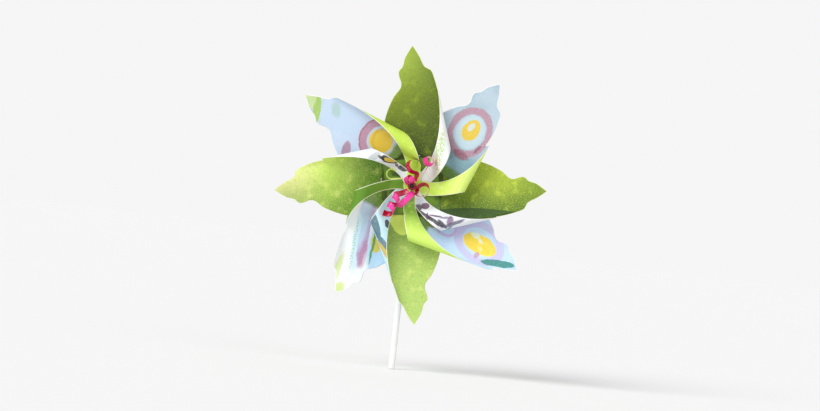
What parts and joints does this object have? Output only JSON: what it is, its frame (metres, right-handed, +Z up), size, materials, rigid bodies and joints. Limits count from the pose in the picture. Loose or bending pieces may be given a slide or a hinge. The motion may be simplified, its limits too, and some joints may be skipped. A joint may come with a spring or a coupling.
{
  "type": "pinwheel",
  "caption": "Paper pinwheel: curled leaf-shaped vanes of two printed sheets turn on a pin through a rolled paper stick, with curled ribbons at the hub.",
  "frame": {"origin": "centre of the flat end of the stick's foot", "axes": "+Z up along the stick; the wheel's axis lies along Y and the wheel faces -Y; +X is to the right as the wheel is seen"},
  "size_m": [0.2457, 0.0448, 0.2936],
  "materials": {
    "stick_paper": "matt white rolled paper",
    "pin_steel": "satin steel wire",
    "black_plastic": "glossy black",
    "white_plastic": "glossy white",
    "bead_plastic": "glossy pink",
    "green_paper": "matt paper, mottled green watercolour on both sides, white core at the cut edges",
    "print_paper": "matt paper, pale watercolour shapes in front and lime green behind, white core at the cut edges",
    "ribbon_crimson": "glossy curling ribbon, crimson outside and cream inside",
    "ribbon_pink": "glossy curling ribbon, pink outside and cream inside",
    "ribbon_lime": "glossy curling ribbon, pale lime"
  },
  "bodies": {
    "stand": {"stick": "stick_paper", "pin_shaft": "pin_steel", "pin_head": "black_plastic", "pin_cap": "white_plastic"},
    "wheel": {"green_sheet": "green_paper", "print_sheet": "print_paper", "front_bead": "bead_plastic", "ribbon_knot": "ribbon_crimson", "ribbon_top_ring": "ribbon_crimson", "ribbon_ringlet": "ribbon_pink", "ribbon_thin_loop": "ribbon_lime", "ribbon_left_loop": "ribbon_pink", "ribbon_right_ring": "ribbon_crimson", "ribbon_tail": "ribbon_crimson", "ribbon_corkscrew": "ribbon_pink"},
    "bead": {"spacer_bead": "bead_plastic"}
  },
  "joints": [
    {"name": "wheel_spin", "type": "hinge", "parent": "stand", "child": "wheel", "pos_m": [0, -0.012, 0.167], "axis": [0, -1, 0], "continuous": true},
    {"name": "bead_spin", "type": "hinge", "parent": "stand", "child": "bead", "pos_m": [0, -0.0064, 0.167], "axis": [0, -1, 0], "continuous": true}
  ]
}
